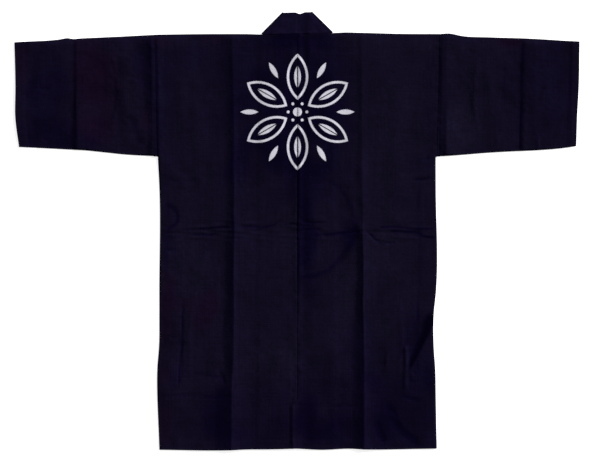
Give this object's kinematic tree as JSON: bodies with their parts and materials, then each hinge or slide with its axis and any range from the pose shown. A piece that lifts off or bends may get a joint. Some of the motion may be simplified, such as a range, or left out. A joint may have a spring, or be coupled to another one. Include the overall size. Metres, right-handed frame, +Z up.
{
  "type": "happi coat",
  "caption": "Old indigo cotton happi coat laid flat, back up: straight body, short straight sleeves spread, narrow collar band, with a white resist-dyed flower crest on the back.",
  "frame": {"origin": "on the surface that the coat lies on, below the middle of its outline: half way from cuff to cuff, and half way from the back hem to the top of the collar", "axes": "+X from the wearer's left cuff to the right one, +Y from the hem to the collar, +Z up from the surface; the back of the coat faces up and its fronts lie underneath"},
  "size_m": [1.271, 0.9871, 0.0062],
  "materials": {
    "indigo_cotton": "matte",
    "collar_cotton": "matte",
    "sewing_thread": "matte"
  },
  "bodies": {
    "root": {"body_left": "indigo_cotton", "body_right": "indigo_cotton", "sleeve_left": "indigo_cotton", "sleeve_right": "indigo_cotton", "collar": "collar_cotton"}
  },
  "joints": []
}
